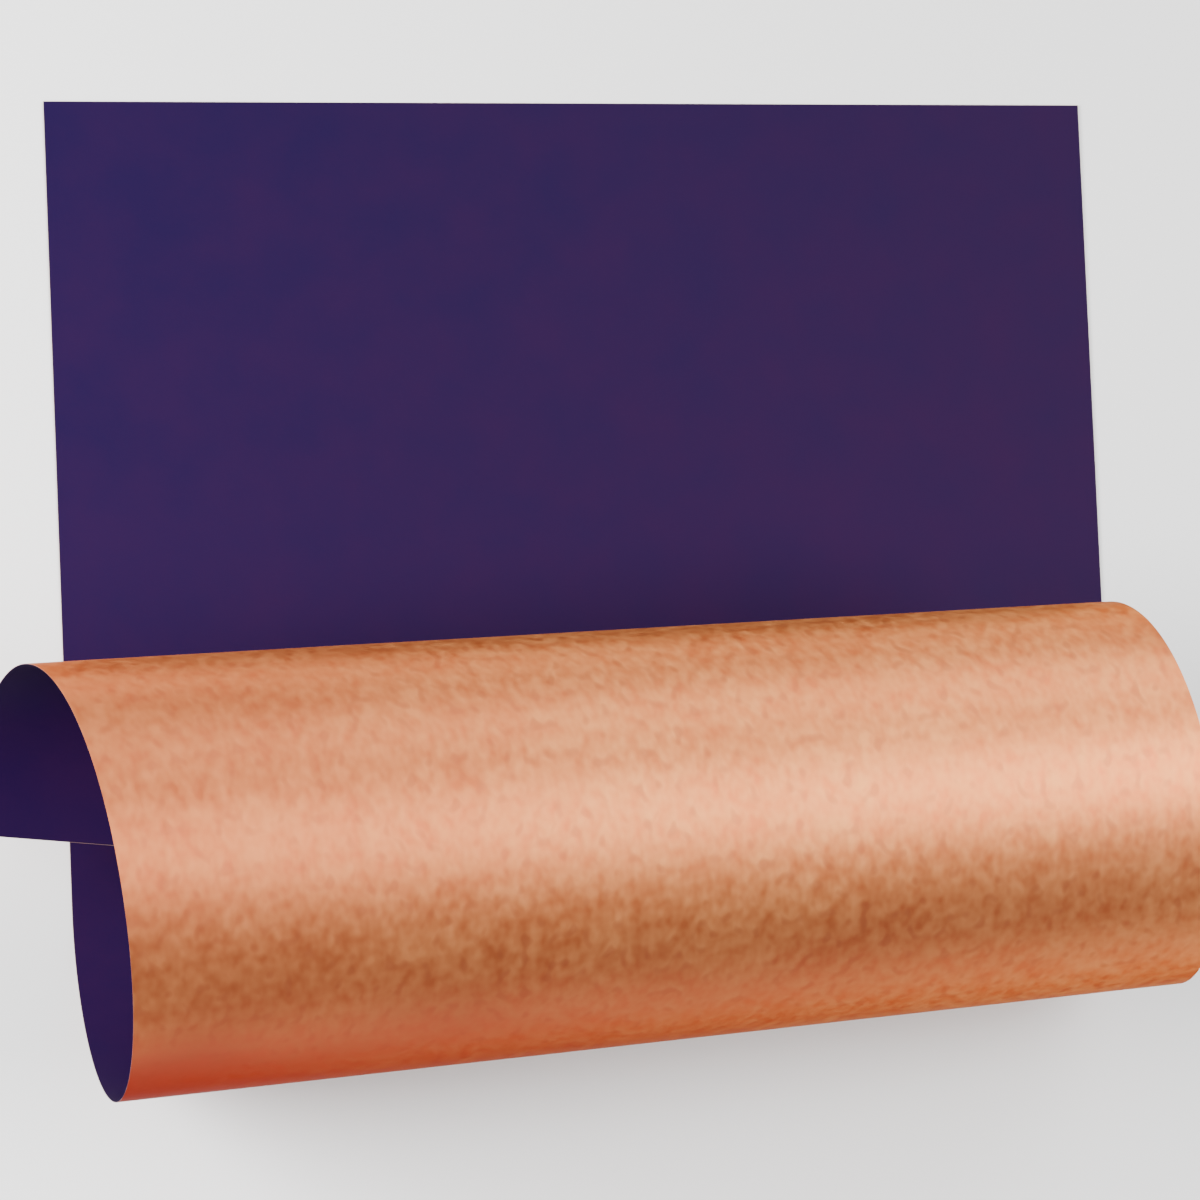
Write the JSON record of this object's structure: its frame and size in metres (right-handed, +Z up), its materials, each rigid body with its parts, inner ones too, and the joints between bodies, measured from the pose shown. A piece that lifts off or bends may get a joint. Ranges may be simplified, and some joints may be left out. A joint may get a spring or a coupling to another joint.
{
  "type": "copper foil sheet",
  "caption": "Wide sheet of self-adhesive copper foil on a dark release liner, lying liner side up with its near end curled up and over, copper outside.",
  "frame": {"origin": "the middle of the flat part of the sheet, on its copper underside, which lies on the table", "axes": "+X across the sheet to the right, +Y along the sheet away from the curl, +Z up, towards the liner side of the flat part"},
  "size_m": [0.3409, 0.2786, 0.1231],
  "materials": {
    "copper": null,
    "adhesive": "clear acrylic pressure-sensitive adhesive",
    "liner": "smooth dark indigo coated release liner, matt to satin"
  },
  "bodies": {
    "flat_part": {"copper_foil_flat": "copper", "adhesive_flat": "adhesive", "release_liner_flat": "liner"},
    "curl_strip_01": {"copper_foil_curl_01": "copper", "adhesive_curl_01": "adhesive", "release_liner_curl_01": "liner"},
    "curl_strip_02": {"copper_foil_curl_02": "copper", "adhesive_curl_02": "adhesive", "release_liner_curl_02": "liner"},
    "curl_strip_03": {"copper_foil_curl_03": "copper", "adhesive_curl_03": "adhesive", "release_liner_curl_03": "liner"},
    "curl_strip_04": {"copper_foil_curl_04": "copper", "adhesive_curl_04": "adhesive", "release_liner_curl_04": "liner"},
    "curl_strip_05": {"copper_foil_curl_05": "copper", "adhesive_curl_05": "adhesive", "release_liner_curl_05": "liner"},
    "curl_strip_06": {"copper_foil_curl_06": "copper", "adhesive_curl_06": "adhesive", "release_liner_curl_06": "liner"},
    "curl_strip_07": {"copper_foil_curl_07": "copper", "adhesive_curl_07": "adhesive", "release_liner_curl_07": "liner"},
    "curl_strip_08": {"copper_foil_curl_08": "copper", "adhesive_curl_08": "adhesive", "release_liner_curl_08": "liner"},
    "curl_strip_09": {"copper_foil_curl_09": "copper", "adhesive_curl_09": "adhesive", "release_liner_curl_09": "liner"},
    "curl_strip_10": {"copper_foil_curl_10": "copper", "adhesive_curl_10": "adhesive", "release_liner_curl_10": "liner"},
    "curl_strip_11": {"copper_foil_curl_11": "copper", "adhesive_curl_11": "adhesive", "release_liner_curl_11": "liner"},
    "curl_strip_12": {"copper_foil_curl_12": "copper", "adhesive_curl_12": "adhesive", "release_liner_curl_12": "liner"},
    "curl_strip_13": {"copper_foil_curl_13": "copper", "adhesive_curl_13": "adhesive", "release_liner_curl_13": "liner"},
    "curl_strip_14": {"copper_foil_curl_14": "copper", "adhesive_curl_14": "adhesive", "release_liner_curl_14": "liner"},
    "curl_strip_15": {"copper_foil_curl_15": "copper", "adhesive_curl_15": "adhesive", "release_liner_curl_15": "liner"},
    "curl_strip_16": {"copper_foil_curl_16": "copper", "adhesive_curl_16": "adhesive", "release_liner_curl_16": "liner"},
    "curl_strip_17": {"copper_foil_curl_17": "copper", "adhesive_curl_17": "adhesive", "release_liner_curl_17": "liner"},
    "curl_strip_18": {"copper_foil_curl_18": "copper", "adhesive_curl_18": "adhesive", "release_liner_curl_18": "liner"},
    "curl_strip_19": {"copper_foil_curl_19": "copper", "adhesive_curl_19": "adhesive", "release_liner_curl_19": "liner"}
  },
  "joints": [
    {"name": "curl_fold_01", "type": "hinge", "parent": "flat_part", "child": "curl_strip_01", "pos_m": [0.00053, -0.11652, 0.00084], "axis": [0.9982, 0.0601, -0.0003], "range_deg": [0, 20.95]},
    {"name": "curl_fold_02", "type": "hinge", "parent": "curl_strip_01", "child": "curl_strip_02", "pos_m": [0.00163, -0.1339, 0.00765], "axis": [0.9979, 0.0653, -0.0023], "range_deg": [0, 20.95]},
    {"name": "curl_fold_03", "type": "hinge", "parent": "curl_strip_02", "child": "curl_strip_03", "pos_m": [0.00266, -0.1483, 0.02094], "axis": [0.9976, 0.0696, -0.0063], "range_deg": [0, 20.95]},
    {"name": "curl_fold_04", "type": "hinge", "parent": "curl_strip_03", "child": "curl_strip_04", "pos_m": [0.00348, -0.15738, 0.03953], "axis": [0.9973, 0.0724, -0.0119], "range_deg": [0, 20.95]},
    {"name": "curl_fold_05", "type": "hinge", "parent": "curl_strip_04", "child": "curl_strip_05", "pos_m": [0.00394, -0.15921, 0.06142], "axis": [0.9972, 0.0729, -0.0184], "range_deg": [0, 20.95]},
    {"name": "curl_fold_06", "type": "hinge", "parent": "curl_strip_05", "child": "curl_strip_06", "pos_m": [0.00395, -0.15283, 0.0831], "axis": [0.9972, 0.071, -0.0249], "range_deg": [0, 20.95]},
    {"name": "curl_fold_07", "type": "hinge", "parent": "curl_strip_06", "child": "curl_strip_07", "pos_m": [0.00349, -0.13886, 0.1012], "axis": [0.9973, 0.0668, -0.0304], "range_deg": [0, 20.95]},
    {"name": "curl_fold_08", "type": "hinge", "parent": "curl_strip_07", "child": "curl_strip_08", "pos_m": [0.00261, -0.11905, 0.11316], "axis": [0.9976, 0.0609, -0.034], "range_deg": [0, 20.95]},
    {"name": "curl_fold_09", "type": "hinge", "parent": "curl_strip_08", "child": "curl_strip_09", "pos_m": [0.00144, -0.09646, 0.11713], "axis": [0.9979, 0.0541, -0.0351], "range_deg": [0, 20.95]},
    {"name": "curl_fold_10", "type": "hinge", "parent": "curl_strip_09", "child": "curl_strip_10", "pos_m": [0.0003, -0.0767, 0.11321], "axis": [0.9983, 0.0481, -0.034], "range_deg": [0, 20.95]},
    {"name": "curl_fold_11", "type": "hinge", "parent": "curl_strip_10", "child": "curl_strip_11", "pos_m": [-0.00071, -0.06165, 0.10359], "axis": [0.9986, 0.0436, -0.0311], "range_deg": [0, 20.95]},
    {"name": "curl_fold_12", "type": "hinge", "parent": "curl_strip_11", "child": "curl_strip_12", "pos_m": [-0.00149, -0.05209, 0.09048], "axis": [0.9988, 0.0408, -0.0271], "range_deg": [0, 20.95]},
    {"name": "curl_fold_13", "type": "hinge", "parent": "curl_strip_12", "child": "curl_strip_13", "pos_m": [-0.00201, -0.04827, 0.07601], "axis": [0.999, 0.0396, -0.0228], "range_deg": [0, 20.95]},
    {"name": "curl_fold_14", "type": "hinge", "parent": "curl_strip_13", "child": "curl_strip_14", "pos_m": [-0.00224, -0.0499, 0.06187], "axis": [0.999, 0.0401, -0.0186], "range_deg": [0, 20.95]},
    {"name": "curl_fold_15", "type": "hinge", "parent": "curl_strip_14", "child": "curl_strip_15", "pos_m": [-0.00217, -0.05675, 0.04892], "axis": [0.999, 0.0422, -0.0147], "range_deg": [0, 20.95]},
    {"name": "curl_fold_16", "type": "hinge", "parent": "curl_strip_15", "child": "curl_strip_16", "pos_m": [-0.0018, -0.06827, 0.03895], "axis": [0.9989, 0.0456, -0.0117], "range_deg": [0, 20.95]},
    {"name": "curl_fold_17", "type": "hinge", "parent": "curl_strip_16", "child": "curl_strip_17", "pos_m": [-0.00114, -0.08324, 0.03361], "axis": [0.9987, 0.0501, -0.0101], "range_deg": [0, 20.95]},
    {"name": "curl_fold_18", "type": "hinge", "parent": "curl_strip_17", "child": "curl_strip_18", "pos_m": [-0.00025, -0.09987, 0.03409], "axis": [0.9984, 0.0551, -0.0102], "range_deg": [0, 20.95]},
    {"name": "curl_fold_19", "type": "hinge", "parent": "curl_strip_18", "child": "curl_strip_19", "pos_m": [0.00075, -0.11598, 0.04092], "axis": [0.9981, 0.0599, -0.0123], "range_deg": [0, 20.95]}
  ],
  "couplings": [
    {"joint": "curl_fold_02", "follows": "curl_fold_01", "ratio": 1},
    {"joint": "curl_fold_03", "follows": "curl_fold_01", "ratio": 1},
    {"joint": "curl_fold_04", "follows": "curl_fold_01", "ratio": 1},
    {"joint": "curl_fold_05", "follows": "curl_fold_01", "ratio": 1},
    {"joint": "curl_fold_06", "follows": "curl_fold_01", "ratio": 1},
    {"joint": "curl_fold_07", "follows": "curl_fold_01", "ratio": 1},
    {"joint": "curl_fold_08", "follows": "curl_fold_01", "ratio": 1},
    {"joint": "curl_fold_09", "follows": "curl_fold_01", "ratio": 1},
    {"joint": "curl_fold_10", "follows": "curl_fold_01", "ratio": 1},
    {"joint": "curl_fold_11", "follows": "curl_fold_01", "ratio": 1},
    {"joint": "curl_fold_12", "follows": "curl_fold_01", "ratio": 1},
    {"joint": "curl_fold_13", "follows": "curl_fold_01", "ratio": 1},
    {"joint": "curl_fold_14", "follows": "curl_fold_01", "ratio": 1},
    {"joint": "curl_fold_15", "follows": "curl_fold_01", "ratio": 1},
    {"joint": "curl_fold_16", "follows": "curl_fold_01", "ratio": 1},
    {"joint": "curl_fold_17", "follows": "curl_fold_01", "ratio": 1},
    {"joint": "curl_fold_18", "follows": "curl_fold_01", "ratio": 1},
    {"joint": "curl_fold_19", "follows": "curl_fold_01", "ratio": 1}
  ]
}
